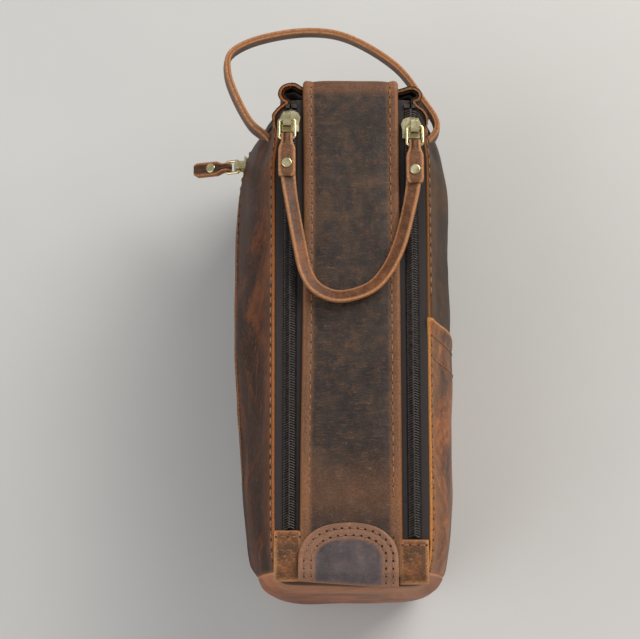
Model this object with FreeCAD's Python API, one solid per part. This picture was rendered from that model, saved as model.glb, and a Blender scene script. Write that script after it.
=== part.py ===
"""Leather toiletry bag (wash bag) with a double-zip lid, a front zip pocket and a carry handle.

The bag stands on its base, +Z up, with its origin at the centre of the base's underside.
+Y runs along the bag to the end where the lid opens and the carry handle is sewn.
-X is the front, where the zip pocket is. Every length is in millimetres.
"""

import FreeCAD
import Part

import math
import os

from FreeCAD import Vector

# ---- driving dimensions ------------------------------------------------------------------
LEATHER = 2.0  # thickness of the wall leather
LINING = 0.8  # thickness of the lining cloth
BOARD = 1.6  # thickness of the stiffener in the base
TAPE = 0.6  # thickness of a zip tape
RIM_Z = 136.8  # height of the top edge of the walls

# The walls, level by level: height, reach to the front, to the back, to the near end and to
# the far end, how square the far corners and the near corners are (the power of the
# superellipse), and how much the front tapers towards the near end.
WALL_LEVELS = [
    (0.0, 47.0, 46.0, 121.0, 114.0, 5.0, 7.0, 0.08),
    (5.0, 52.0, 50.0, 126.0, 118.5, 5.0, 6.6, 0.11),
    (32.0, 59.5, 53.0, 132.0, 122.5, 5.2, 6.6, 0.14),
    (66.0, 61.0, 53.5, 133.0, 124.0, 5.5, 7.0, 0.14),
    (100.0, 54.5, 50.5, 132.0, 123.2, 5.6, 8.0, 0.10),
    (124.0, 44.5, 43.5, 129.0, 122.3, 7.0, 10.0, 0.04),
    (RIM_Z, 39.4, 39.4, 127.0, 121.5, 12.0, 14.0, 0.0),
]
NEAR_SEAM = 0.92  # the near end panel's half width, as a share of the walls' reach
FAR_SEAM = 0.80  # the same for the far end panel
NEAR_SEAM_Y = -114.0  # the near end panel comes this far round onto the front
BACK_SEAM_Y = 0.0  # the back is two panels, joined here

# Lid: a leather strip that bends up at its near end, with a lip turned down at its far end.
LID_HALF = 24.0
LID_THICK = 2.6
LID_LOW_Z = RIM_Z + TAPE
LID_START_Y = -87.0  # the moving strip starts here, just past its bend
ANCHOR_GAP = 0.4  # between the moving strip and the fixed one
FOLD_Y = 120.5  # centre of the bend into the lip
FOLD_R = 5.0  # inner radius of that bend
LIP_LOW_Z = 106.0

# Zip chains beside the lid, one each side.
CHAIN_X = 30.5  # from the middle of the bag to the middle of a chain
COIL_WIDE = 2.9  # one half of a chain
COIL_GAP = 0.8  # between the two halves
COIL_HIGH = 2.2
COIL_LOW_Z = RIM_Z - 0.4
ZIP_FAR_Y = 113.5
ZIP_NEAR_Y = -100.0
STOP_TRIM = 0.9  # the walls' stops are this much narrower, clear of the far corners
BACK_PATCH_Y = -104.0  # far edge of the back zip's end patch
TAPE_OUT_X = 38.6  # outer edge of a wall tape, under the rim binding
BINDING_IN_X = 37.2
BINDING_OUT_X = 40.2
BINDING_HIGH = 1.8

# Sliders and pulls.
SLIDER_LONG = 11.0
SLIDER_WIDE = 9.0
SLIDER_PLATE = 1.0
SLIDER_CLEAR = 0.3
POST_WIDE = 0.4  # the post runs in the gap between the coils
BRIDGE_LONG = 8.0
BRIDGE_WIDE = 4.0
BRIDGE_BAR = 1.2
BRIDGE_OUT = 1.6  # the top sliders' bridges stand this far towards the walls
PIVOT_UP = 3.1  # from a slider's top plate to the bar of its ring
BRIDGE_HIGH = PIVOT_UP + 2.4
FRONT_SLIDER_Y = 106.0
BACK_SLIDER_Y = 102.5
RING_LONG = 11.5
RING_WIDE = 9.6
RING_WIRE = 0.8  # radius of the wire
BAR_CLEAR = 0.4  # between a ring's bar and the leather folded round it
STRAP_WIDE = 6.6
TONGUE_WIDE = 5.2  # a strap's folded end, narrow enough for its ring
STRAP_THICK = 1.6
RIVET_CAP_R = 2.6
RIVET_CAP_HIGH = 1.0
RIVET_POST_R = 1.2

# Front pocket.
POCKET_Z = 70.0  # height of the pocket's zip
POCKET_SLIT = 12.0  # height of the slit in the front wall
POCKET_FAR_Y = 109.0
POCKET_NEAR_Y = -70.0
POCKET_TAPE_X = -53.6  # inner face of the pocket's zip tapes
POUCH_IN_X = -48.4
POUCH_LOW_Z = 30.0
LINING_FRONT_CUT = 14.5  # the main lining's front is this far in from the leather's outside
POCKET_SLIDER_Y = 103.0
TAB_LONG = 20.0
TAB_WIDE = 4.0
TAB_DROP = 20.0  # degrees below level that the pocket's pull tab points

# Carry handle on the far end.
HANDLE_Z = 114.0
HANDLE_WIDE = 12.0
HANDLE_LAYER = 1.5
HANDLE_ROOT_Y = 109.5  # start of the free part of the handle
HANDLE_ROOTS_X = (-46.6, 45.0)

SECTION_POINTS = 44


# ---- walls -------------------------------------------------------------------------------
def outline_points(front, back, near, far, far_power, near_power, taper):
    """Points round one level of the walls, evenly spaced, starting at the middle of the back."""
    fine = []
    steps = 720
    for i in range(steps):
        turn = 2 * math.pi * i / steps
        c, s = math.cos(turn), math.sin(turn)
        reach_x = back if c >= 0 else front
        reach_y, power = (far, far_power) if s >= 0 else (near, near_power)
        r = (abs(c / reach_x) ** power + abs(s / reach_y) ** power) ** (-1 / power)
        squeeze = 1 - taper * r * abs(s) / near if c < 0 and s < 0 else 1
        fine.append(Vector(r * c * squeeze, r * s, 0))
    along = [0.0]
    for i in range(steps):
        along.append(along[-1] + (fine[(i + 1) % steps] - fine[i]).Length)
    points = []
    k = 0
    for n in range(SECTION_POINTS):
        want = along[-1] * n / SECTION_POINTS
        while along[k + 1] < want:
            k += 1
        share = (want - along[k]) / (along[k + 1] - along[k])
        points.append(fine[k] + (fine[(k + 1) % steps] - fine[k]) * share)
    return points


def wall_solid(inset, low_z, front_extra=0.0):
    """The inside of the walls' surface moved in by inset, from low_z to above the rim."""
    wires = []
    levels = WALL_LEVELS + [(RIM_Z + 6.0,) + WALL_LEVELS[-1][1:]]
    for z, front, back, near, far, far_power, near_power, taper in levels:
        outline = outline_points(
            front - inset - front_extra,
            back - inset,
            near - inset,
            far - inset,
            far_power,
            near_power,
            taper,
        )
        curve = Part.BSplineCurve()
        curve.interpolate([p + Vector(0, 0, z) for p in outline], True)
        wires.append(Part.Wire([curve.toShape()]))
    solid = Part.makeLoft(wires, True, False)
    tall = RIM_Z + 3.0 - low_z
    return solid.common(box(-90, 90, -160, 160, low_z, low_z + tall))


def box(x0, x1, y0, y1, z0, z1):
    return Part.makeBox(x1 - x0, y1 - y0, z1 - z0, Vector(x0, y0, z0))


def bar_x(profile, half):
    """A closed outline of (y, z) points, drawn out to half on each side of the middle."""
    points = [Vector(-half, y, z) for y, z in profile]
    face = Part.Face(Part.makePolygon(points + [points[0]]))
    return face.extrude(Vector(2 * half, 0, 0))


def bar_y(profile, y0, y1):
    """A closed outline of (x, z) points, drawn out from y0 to y1."""
    points = [Vector(x, y0, z) for x, z in profile]
    face = Part.Face(Part.makePolygon(points + [points[0]]))
    return face.extrude(Vector(0, y1 - y0, 0))


def mirrored(shape):
    return shape.mirror(Vector(0, 0, 0), Vector(1, 0, 0))


def end_zone(share, y0, y1):
    """The space that an end panel is cut from: as wide at each height as a share of the walls."""
    above = [level for level in WALL_LEVELS if level[0] > LEATHER]
    low = above[0]
    rows = [(LEATHER, low[1], low[2])] + [(z, front, back) for z, front, back, *_ in above]
    front_edge = [(-share * front, z) for z, front, _ in rows]
    back_edge = [(share * back, z) for z, _, back in rows]
    return bar_y(front_edge + back_edge[::-1], y0, y1)


def wall_panels():
    """The leather walls and base, cut along their seams."""
    outer = wall_solid(0.0, 0.0)
    inner = wall_solid(LEATHER, LEATHER)
    shell = outer.cut(inner)
    far = 200.0
    slit_low = POCKET_Z - POCKET_SLIT / 2
    slit_high = POCKET_Z + POCKET_SLIT / 2
    near_zone = end_zone(NEAR_SEAM, -far, NEAR_SEAM_Y)
    far_zone = end_zone(FAR_SEAM, 60, far)
    sides = shell.cut(near_zone).cut(far_zone)
    zones = {
        "back_near_panel": box(0, far, -far, BACK_SEAM_Y, LEATHER, RIM_Z),
        "back_far_panel": box(0, far, BACK_SEAM_Y, far, LEATHER, RIM_Z),
        "front_pocket_panel": box(-far, 0, -far, far, LEATHER, POCKET_Z),
        "front_upper_panel": box(-far, 0, -far, far, POCKET_Z, RIM_Z),
    }
    slit = box(-far, -40, POCKET_NEAR_Y, POCKET_FAR_Y, slit_low, slit_high)
    panels = {
        "base_panel": shell.common(box(-far, far, -far, far, 0, LEATHER)),
        "near_end_panel": shell.common(near_zone),
        "far_end_panel": shell.common(far_zone),
    }
    for name, zone in zones.items():
        panels[name] = sides.common(zone)
    for name in ("front_pocket_panel", "front_upper_panel"):
        panels[name] = panels[name].cut(slit)
    return panels


def lining_parts():
    """The main lining, with its floor over the stiffener board."""
    floor_z = LEATHER + BOARD
    front_extra = LINING_FRONT_CUT - LEATHER
    outer = wall_solid(LEATHER, floor_z, front_extra)
    inner = wall_solid(LEATHER + LINING, floor_z + LINING, front_extra)
    inside_walls = wall_solid(LEATHER, LEATHER)
    below_rim = box(-200, 200, -200, 200, 0, RIM_Z - 8.0)
    board = box(-37, 41, -112, 104, LEATHER, floor_z)
    return {
        "lining": outer.cut(inner).common(below_rim).common(inside_walls),
        "base_stiffener": rounded_board(board),
    }


def rounded_board(board):
    upright = [e for e in board.Edges if abs(e.tangentAt(0).z) > 0.9]
    return board.makeFillet(14.0, upright)


# ---- top: lid, bindings and zips ---------------------------------------------------------
def lid_profile(low, high):
    """The lid's leather between two offsets from its underside, bend and lip included."""
    centre_z = LID_LOW_Z - FOLD_R
    start_y = LID_START_Y
    inner_r, outer_r = FOLD_R + low, FOLD_R + high

    def line(a, b):
        return Part.LineSegment(Vector(0, *a), Vector(0, *b)).toShape()

    def bend(r, first, last):
        at = math.radians(45)
        middle = Vector(0, FOLD_Y + r * math.cos(at), centre_z + r * math.sin(at))
        return Part.Arc(Vector(0, *first), middle, Vector(0, *last)).toShape()

    a = (start_y, centre_z + inner_r)
    b = (FOLD_Y, centre_z + inner_r)
    c = (FOLD_Y + inner_r, centre_z)
    d = (FOLD_Y + inner_r, LIP_LOW_Z)
    e = (FOLD_Y + outer_r, LIP_LOW_Z)
    f = (FOLD_Y + outer_r, centre_z)
    g = (FOLD_Y, centre_z + outer_r)
    h = (start_y, centre_z + outer_r)
    edges = [line(a, b), bend(inner_r, b, c), line(c, d), line(d, e), line(e, f)]
    edges += [bend(outer_r, f, g), line(g, h), line(h, a)]
    return Part.Face(Part.Wire(edges))


def lid_parts():
    strip = lid_profile(0.0, LID_THICK)
    strip.translate(Vector(-LID_HALF, 0, 0))
    start_y = LID_START_Y
    tape_in = 22.0
    tape_out = CHAIN_X - COIL_GAP / 2 - COIL_WIDE
    coil_out = CHAIN_X - COIL_GAP / 2
    lid_tape = box(-tape_out, -tape_in, start_y, FOLD_Y - 2, RIM_Z, RIM_Z + TAPE)
    lid_coil = box(
        -coil_out, -tape_out, start_y, ZIP_FAR_Y, COIL_LOW_Z, COIL_LOW_Z + COIL_HIGH
    )
    stop = box(-coil_out, -tape_out, ZIP_FAR_Y, ZIP_FAR_Y + 2.0, COIL_LOW_Z, LID_LOW_Z + 1.2)
    lining = box(-tape_in, tape_in, start_y, FOLD_Y - 2, RIM_Z, RIM_Z + TAPE)
    return {
        "lid_strip": strip.extrude(Vector(2 * LID_HALF, 0, 0)),
        "lid_lining": lining,
        "front_lid_tape": lid_tape,
        "back_lid_tape": mirrored(lid_tape),
        "front_lid_coil": lid_coil,
        "back_lid_coil": mirrored(lid_coil),
        "lid_top_stops": Part.makeCompound([stop, mirrored(stop)]),
    }


def rim_parts():
    """What is fixed round the mouth: bindings, the walls' halves of the zips, end patches."""
    coil_in = CHAIN_X + COIL_GAP / 2
    coil_out = coil_in + COIL_WIDE
    tape = box(-TAPE_OUT_X, -coil_out, ZIP_NEAR_Y, ZIP_FAR_Y, RIM_Z, RIM_Z + TAPE)
    coil = box(-coil_out, -coil_in, ZIP_NEAR_Y, ZIP_FAR_Y, COIL_LOW_Z, COIL_LOW_Z + COIL_HIGH)
    end_coil = box(
        -coil_in + COIL_GAP,
        -coil_in + COIL_GAP + COIL_WIDE,
        ZIP_NEAR_Y,
        LID_START_Y - ANCHOR_GAP,
        COIL_LOW_Z,
        COIL_LOW_Z + COIL_HIGH,
    )
    coils = Part.makeCompound([coil, end_coil])
    stop_out = coil_out - STOP_TRIM
    stop = box(-stop_out, -coil_in, ZIP_FAR_Y, ZIP_FAR_Y + 2.0, COIL_LOW_Z, LID_LOW_Z + 1.2)
    binding_low = RIM_Z + TAPE
    binding = box(
        -BINDING_OUT_X, -BINDING_IN_X, -122, 112, binding_low, binding_low + BINDING_HIGH
    )
    patch_x0, patch_x1 = -BINDING_IN_X + 0.2, -LID_HALF - 1.1
    front_patch = box(patch_x0, patch_x1, -124, ZIP_NEAR_Y - 0.2, RIM_Z, RIM_Z + 2.2)
    back_patch = box(-patch_x1, -patch_x0, -126, BACK_PATCH_Y, RIM_Z, RIM_Z + 2.2)
    anchor = box(
        -LID_HALF, LID_HALF, -127, LID_START_Y - ANCHOR_GAP, RIM_Z, LID_LOW_Z + LID_THICK
    )
    return {
        "front_wall_tape": tape,
        "back_wall_tape": mirrored(tape),
        "front_wall_coil": coils,
        "back_wall_coil": mirrored(coils),
        "wall_top_stops": Part.makeCompound([stop, mirrored(stop)]),
        "front_rim_binding": binding,
        "back_rim_binding": mirrored(binding),
        "front_zip_end_patch": front_patch,
        "back_zip_end_patch": back_patch,
        "lid_anchor": anchor,
        "hinge_tab": hinge_tab(),
    }


def hinge_tab():
    """The half-round leather tab sewn over the lid's fixed end."""
    thick = 1.4
    half = LID_HALF + 0.8
    low_z = LID_LOW_Z + LID_THICK
    end_y = -129.0
    top_y = -96.0
    side_y = -116.0
    arc = Part.Arc(
        Vector(-half, side_y, low_z), Vector(0, top_y, low_z), Vector(half, side_y, low_z)
    ).toShape()
    sides = Part.makePolygon(
        [
            Vector(half, side_y, low_z),
            Vector(half, end_y, low_z),
            Vector(-half, end_y, low_z),
            Vector(-half, side_y, low_z),
        ]
    )
    face = Part.Face(Part.Wire([arc] + sides.Edges))
    return face.extrude(Vector(0, 0, thick))


# ---- sliders, rings and straps -----------------------------------------------------------
def slider(bridge_x=0.0, bridge_turn=0.0):
    """A zip slider about its own middle: the chain runs along Y, the pull's side is +Z.

    z = 0 is the middle of the coils. The front of the slider, where the halves part, is +Y.
    The bridge runs along the chain, or is turned from it by bridge_turn degrees.
    """
    room = COIL_HIGH / 2 + SLIDER_CLEAR
    half_long = SLIDER_LONG / 2
    nose = SLIDER_WIDE / 2
    tail = COIL_WIDE + COIL_GAP / 2 + SLIDER_CLEAR + 0.8
    outline = [
        Vector(-tail, -half_long, 0),
        Vector(tail, -half_long, 0),
        Vector(tail, -1.0, 0),
        Vector(nose + 0.6, 2.0, 0),
        Vector(nose - 0.6, half_long - 1.0, 0),
        Vector(1.6, half_long, 0),
        Vector(-1.6, half_long, 0),
        Vector(-nose + 0.6, half_long - 1.0, 0),
        Vector(-nose - 0.6, 2.0, 0),
        Vector(-tail, -1.0, 0),
    ]
    plate = Part.Face(Part.makePolygon(outline + [outline[0]])).extrude(
        Vector(0, 0, SLIDER_PLATE)
    )
    top = plate.copy()
    top.translate(Vector(0, 0, room))
    bottom = plate.copy()
    bottom.translate(Vector(0, 0, -room - SLIDER_PLATE))
    post = box(-POST_WIDE / 2, POST_WIDE / 2, -1.0, half_long - 0.6, -room, room)
    flange_in = COIL_WIDE + COIL_GAP / 2 + SLIDER_CLEAR
    flange_high = room - TAPE
    flanges = [
        box(sx, sx + 0.8, -half_long, -1.0, room - flange_high, room)
        for sx in (-flange_in - 0.8, flange_in)
    ]
    bridge = slider_bridge(room + SLIDER_PLATE)
    bridge.rotate(Vector(0, 0, 0), Vector(0, 0, 1), bridge_turn)
    bridge.translate(Vector(bridge_x, 0, 0))
    return top.fuse([bottom, post, bridge] + flanges).removeSplitter()


def slider_bridge(low_z):
    """The loop on top of a slider that the pull ring hangs in."""
    half = BRIDGE_LONG / 2
    outside = Part.makeBox(
        BRIDGE_WIDE, BRIDGE_LONG, BRIDGE_HIGH, Vector(-BRIDGE_WIDE / 2, -half, low_z)
    )
    along_x = [
        e for e in outside.Edges if abs(e.tangentAt(0).x) > 0.9 and e.BoundBox.ZMin > low_z + 1
    ]
    outside = outside.makeFillet(2.2, along_x)
    window = Part.makeBox(
        BRIDGE_WIDE + 2,
        BRIDGE_LONG - 2 * BRIDGE_BAR,
        BRIDGE_HIGH - BRIDGE_BAR,
        Vector(-BRIDGE_WIDE / 2 - 1, -half + BRIDGE_BAR, low_z),
    )
    return outside.cut(window)


def ring(long, wide, wire, bend):
    """A rounded wire link lying along -Y: its pivot bar runs along X through the origin."""
    half = wide / 2 - wire
    end_y = -long + 2 * wire
    corners = [(half, 0.0), (half, end_y), (-half, end_y), (-half, 0.0)]
    edges = []
    k = bend * (1 - math.cos(math.radians(45)))
    for i, (x, y) in enumerate(corners):
        nx, ny = corners[(i + 1) % 4]
        px, py = corners[i - 1]
        to_next = Vector(nx - x, ny - y, 0).normalize()
        to_last = Vector(px - x, py - y, 0).normalize()
        at = Vector(x, y, 0)
        start, end = at + to_last * bend, at + to_next * bend
        middle = at + (to_last + to_next) * k
        edges.append(Part.Arc(start, middle, end).toShape())
        following = Vector(nx, ny, 0) - to_next * bend
        edges.append(Part.LineSegment(end, following).toShape())
    path = Part.Wire(edges)
    first = edges[0].valueAt(edges[0].FirstParameter)
    along = edges[0].tangentAt(edges[0].FirstParameter)
    circle = Part.Wire([Part.Circle(first, along, wire).toShape()])
    return path.makePipeShell([circle], True, True)


def strap_tongue(thick, wide, long, radius, gap):
    """The end of a pull strap, folded round a ring's bar and lying along -Y from it.

    The bar is the origin; the fold is an open C round it, with both leaves going -Y.
    """
    out_r = radius + thick
    c = out_r
    leaf_far = -long

    def at(r, degrees):
        a = math.radians(degrees)
        return Vector(0, r * math.cos(a), r * math.sin(a))

    outer = Part.Arc(at(c, -90), at(c, 0), at(c, 90)).toShape()
    inner = Part.Arc(at(radius, 90), at(radius, 0), at(radius, -90)).toShape()
    low = gap / 2
    slope_y = -5.0
    top = Part.makePolygon(
        [
            at(c, 90),
            Vector(0, slope_y, low + thick),
            Vector(0, leaf_far, low + thick),
            Vector(0, leaf_far, low),
            Vector(0, slope_y, low),
            at(radius, 90),
        ]
    )
    under = Part.makePolygon(
        [
            at(radius, -90),
            Vector(0, slope_y, -low),
            Vector(0, leaf_far, -low),
            Vector(0, leaf_far, -low - thick),
            Vector(0, slope_y, -low - thick),
            at(c, -90),
        ]
    )
    face = Part.Face(Part.Wire(top.Edges + [inner] + under.Edges + [outer]))
    face.translate(Vector(-wide / 2, 0, 0))
    return face.extrude(Vector(wide, 0, 0))


def strap_loop(start_front, start_back, z):
    """The U of the pull strap between its two folded ends, standing a little above the lid."""
    half = STRAP_WIDE / 2
    path_points = [
        start_front,
        Vector(-30.4, 66.0, z),
        Vector(-26.4, 42.0, z),
        Vector(-19.0, 22.5, z),
        Vector(-5.0, 14.5, z),
        Vector(9.0, 18.0, z),
        Vector(19.0, 29.5, z),
        Vector(26.4, 47.5, z),
        Vector(31.0, 67.0, z),
        start_back,
    ]
    curve = Part.BSplineCurve()
    curve.interpolate(path_points)
    steps = 28
    sides = ([], [])
    for i in range(steps + 1):
        t = curve.FirstParameter + (curve.LastParameter - curve.FirstParameter) * i / steps
        here = curve.value(t)
        along = Vector(*curve.tangent(t)[0])
        across = Vector(-along.y, along.x, 0).normalize()
        sides[0].append(here + across * half)
        sides[1].append(here - across * half)
    left = Part.BSplineCurve()
    left.interpolate(sides[0])
    right = Part.BSplineCurve()
    right.interpolate(sides[1])
    ends = [
        Part.LineSegment(sides[0][-1], sides[1][-1]).toShape(),
        Part.LineSegment(sides[1][0], sides[0][0]).toShape(),
    ]
    face = Part.Face(Part.Wire([left.toShape(), ends[0], right.toShape(), ends[1]]))
    return face.extrude(Vector(0, 0, STRAP_THICK))


def rivet(high):
    """A tubular rivet through folded leather: cap, post and washer, standing along Z."""
    cap = Part.makeCylinder(RIVET_CAP_R, RIVET_CAP_HIGH, Vector(0, 0, high / 2))
    cap = cap.makeFillet(0.6, [e for e in cap.Edges if e.BoundBox.ZMin > high / 2 + 0.5][:1])
    post = Part.makeCylinder(RIVET_POST_R, high, Vector(0, 0, -high / 2))
    washer = Part.makeCylinder(RIVET_CAP_R - 0.3, 0.5, Vector(0, 0, -high / 2 - 0.5))
    return cap.fuse([post, washer]).removeSplitter()


def top_pull_parts():
    """Both top sliders, their rings, and the leather strap that joins the two pulls."""
    coil_mid_z = COIL_LOW_Z + COIL_HIGH / 2
    pivot_z = coil_mid_z + COIL_HIGH / 2 + SLIDER_CLEAR + SLIDER_PLATE + PIVOT_UP
    parts = {}
    tongue_long = 19.0
    bar_r = RING_WIRE + BAR_CLEAR
    ends = {}
    studs = []
    for side, sign, y in (
        ("front", -1, FRONT_SLIDER_Y),
        ("back", 1, BACK_SLIDER_Y),
    ):
        body = slider(sign * BRIDGE_OUT)
        body.translate(Vector(sign * CHAIN_X, y, coil_mid_z))
        parts[side + "_slider"] = body
        pull_x = sign * (CHAIN_X + BRIDGE_OUT)
        link = ring(RING_LONG, RING_WIDE, RING_WIRE, 1.6)
        link.translate(Vector(pull_x, y, pivot_z))
        parts[side + "_pull_ring"] = link
        ends[side] = Vector(pull_x, y - RING_LONG + 2 * RING_WIRE, pivot_z)
    tongues = []
    gap = STRAP_THICK + 0.1
    for side in ("front", "back"):
        tongue = strap_tongue(STRAP_THICK, TONGUE_WIDE, tongue_long, bar_r, gap)
        tongue.translate(ends[side])
        tongues.append(tongue)
        stud = rivet(gap + 2 * STRAP_THICK + 0.02)
        stud.translate(Vector(ends[side].x, ends[side].y - tongue_long + 5.5, pivot_z))
        studs.append(stud)
    parts["strap_rivets"] = Part.makeCompound(studs)
    loop_low = pivot_z - STRAP_THICK / 2
    joint_in = tongue_long - 11.0
    loop = strap_loop(
        Vector(ends["front"].x, ends["front"].y - joint_in, loop_low),
        Vector(ends["back"].x, ends["back"].y - joint_in, loop_low),
        loop_low,
    )
    holes = [
        Part.makeCylinder(RIVET_POST_R, 20, Vector(e.x, e.y - tongue_long + 5.5, pivot_z - 10))
        for e in ends.values()
    ]
    punches = Part.makeCompound(holes)
    parts["pull_strap"] = loop.cut(punches)
    parts["strap_end_folds"] = Part.makeCompound([tongue.cut(punches) for tongue in tongues])
    return parts


# ---- front pocket ------------------------------------------------------------------------
def pocket_parts():
    """The front pocket's zip, its pull and its cloth pouch."""
    x = POCKET_TAPE_X
    half_gap = COIL_GAP / 2
    tape_reach = 10.0
    coil_reach = half_gap + COIL_WIDE
    near, far = POCKET_NEAR_Y, POCKET_FAR_Y
    lower_tape = box(x - TAPE, x, near, far, POCKET_Z - tape_reach, POCKET_Z - coil_reach)
    upper_tape = box(x - TAPE, x, near, far, POCKET_Z + coil_reach, POCKET_Z + tape_reach)
    coil_x0 = x - TAPE / 2 - COIL_HIGH / 2
    lower_coil = box(
        coil_x0,
        coil_x0 + COIL_HIGH,
        POCKET_NEAR_Y,
        POCKET_FAR_Y,
        POCKET_Z - half_gap - COIL_WIDE,
        POCKET_Z - half_gap,
    )
    upper_coil = lower_coil.copy()
    upper_coil.translate(Vector(0, 0, COIL_WIDE + COIL_GAP))
    sheet = LINING / 2
    low, top = POUCH_LOW_Z, POCKET_Z + tape_reach
    inside = POUCH_IN_X
    outside = x + 0.1
    lower_top = POCKET_Z - half_gap - COIL_WIDE - 1.0
    pouch_outline = [
        (inside, top),
        (inside, low),
        (outside, low),
        (outside, lower_top),
        (outside + sheet, lower_top),
        (outside + sheet, low + sheet),
        (inside - sheet, low + sheet),
        (inside - sheet, top - sheet),
        (outside, top - sheet),
        (outside, top),
    ]
    room = wall_solid(LEATHER, LEATHER)
    parts = {
        "pocket_lower_tape": lower_tape.common(room),
        "pocket_upper_tape": upper_tape.common(room),
        "pocket_coils": Part.makeCompound([lower_coil, upper_coil]).common(room),
        "pocket_pouch": bar_y(pouch_outline, -68, 84).common(room),
    }
    parts.update(pocket_pull_parts(coil_x0 + COIL_HIGH / 2))
    return parts


def pocket_pull_parts(coil_mid_x):
    """The pocket's slider, ring and leather pull tab, made lying flat and turned to the wall."""
    pivot_up = COIL_HIGH / 2 + SLIDER_CLEAR + SLIDER_PLATE + PIVOT_UP
    body = slider(bridge_turn=90.0)
    small_ring = ring(8.6, 8.0, RING_WIRE, 1.0)
    bar_r = RING_WIRE + BAR_CLEAR
    bar_at = -8.6 + 2 * RING_WIRE
    tab = strap_tongue(STRAP_THICK, TAB_WIDE, TAB_LONG, bar_r, 0.6)
    tab_rivet_at = -8.6
    hole = Part.makeCylinder(RIVET_POST_R, 20, Vector(0, tab_rivet_at, -10))
    tab = tab.cut(hole)
    stud = rivet(0.6 + 2 * STRAP_THICK + 0.02)
    stud.translate(Vector(0, tab_rivet_at, 0))
    turn_out = FreeCAD.Placement(
        Vector(coil_mid_x, POCKET_SLIDER_Y, POCKET_Z), FreeCAD.Rotation(Vector(0, 1, 0), -90)
    )
    body.Placement = turn_out
    # The pull stands out from the wall: its own -Y becomes the front, dropping below level.
    pivot = Vector(coil_mid_x - pivot_up, POCKET_SLIDER_Y, POCKET_Z)
    lay = FreeCAD.Rotation(Vector(0, 0, 1), -90)
    dip = FreeCAD.Rotation(Vector(0, 1, 0), -TAB_DROP)
    hang = FreeCAD.Placement(pivot, dip.multiply(lay))
    small_ring.Placement = hang
    reach = hang.multVec(Vector(0, bar_at, 0))
    at_bar = FreeCAD.Placement(reach, dip.multiply(lay))
    tab.Placement = at_bar
    stud.Placement = at_bar.multiply(stud.Placement)
    return {
        "pocket_slider": body,
        "pocket_pull_ring": small_ring,
        "pocket_pull_tab": tab,
        "pocket_tab_rivet": stud,
    }


# ---- carry handle ------------------------------------------------------------------------
def handle_centreline():
    """The handle's middle line seen from above, from the front root round to the back root."""
    points = [
        (HANDLE_ROOTS_X[0], HANDLE_ROOT_Y),
        (-53.5, 115.5),
        (-60.0, 128.5),
        (-63.8, 140.5),
        (-62.0, 151.0),
        (-47.0, 158.8),
        (-22.0, 162.9),
        (0.0, 159.2),
        (24.5, 143.5),
        (39.5, 122.5),
        (HANDLE_ROOTS_X[1], HANDLE_ROOT_Y),
    ]
    curve = Part.BSplineCurve()
    curve.interpolate([Vector(x, y, 0) for x, y in points])
    return curve


def band(curve, offset_in, offset_out, low_z, high_z):
    """A strap standing on edge that follows a curve, between two offsets from it."""
    steps = 60
    rows = ([], [])
    for i in range(steps + 1):
        t = curve.FirstParameter + (curve.LastParameter - curve.FirstParameter) * i / steps
        here = curve.value(t)
        along = Vector(*curve.tangent(t)[0])
        across = Vector(-along.y, along.x, 0).normalize()
        rows[0].append(here + across * offset_in + Vector(0, 0, low_z))
        rows[1].append(here + across * offset_out + Vector(0, 0, low_z))
    edges = []
    for row in rows:
        side = Part.BSplineCurve()
        side.interpolate(row)
        edges.append(side.toShape())
    closing = [
        Part.LineSegment(rows[0][-1], rows[1][-1]).toShape(),
        Part.LineSegment(rows[1][0], rows[0][0]).toShape(),
    ]
    face = Part.Face(Part.Wire([edges[0], closing[0], edges[1], closing[1]]))
    return face.extrude(Vector(0, 0, high_z - low_z))


def handle_parts():
    curve = handle_centreline()
    low, high = HANDLE_Z - HANDLE_WIDE / 2, HANDLE_Z + HANDLE_WIDE / 2
    stub_long = 8.0
    stub = box(-HANDLE_LAYER, HANDLE_LAYER, -stub_long, 0, low, high)
    swing_room = Part.makeCylinder(
        HANDLE_WIDE / 2 + 0.5, 200, Vector(-100, HANDLE_ROOT_Y, HANDLE_Z), Vector(1, 0, 0)
    )
    kept_out = wall_solid(0.0, 0.0).fuse(swing_room)
    stubs = []
    for x in HANDLE_ROOTS_X:
        piece = stub.copy()
        piece.translate(Vector(x, HANDLE_ROOT_Y - 1.4, 0))
        stubs.append(piece.cut(kept_out))
    return {
        "handle_outer_layer": band(curve, 0.0, HANDLE_LAYER, low, high),
        "handle_inner_layer": band(curve, -HANDLE_LAYER, 0.0, low, high),
        "handle_roots": Part.makeCompound(stubs),
    }


# ---- build -------------------------------------------------------------------------------
def main():
    parts = {}
    parts.update(wall_panels())
    parts.update(lining_parts())
    parts.update(rim_parts())
    parts.update(lid_parts())
    parts.update(top_pull_parts())
    parts.update(pocket_parts())
    parts.update(handle_parts())
    os.makedirs("parts", exist_ok=True)
    for name, shape in parts.items():
        solids = shape.Solids
        if not solids or not shape.isValid():
            raise ValueError(name + " is not a valid solid")
        shape.exportStep(os.path.join("parts", name + ".step"))
        print(name, len(solids), round(shape.Volume, 1))


main()
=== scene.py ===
import math

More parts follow.
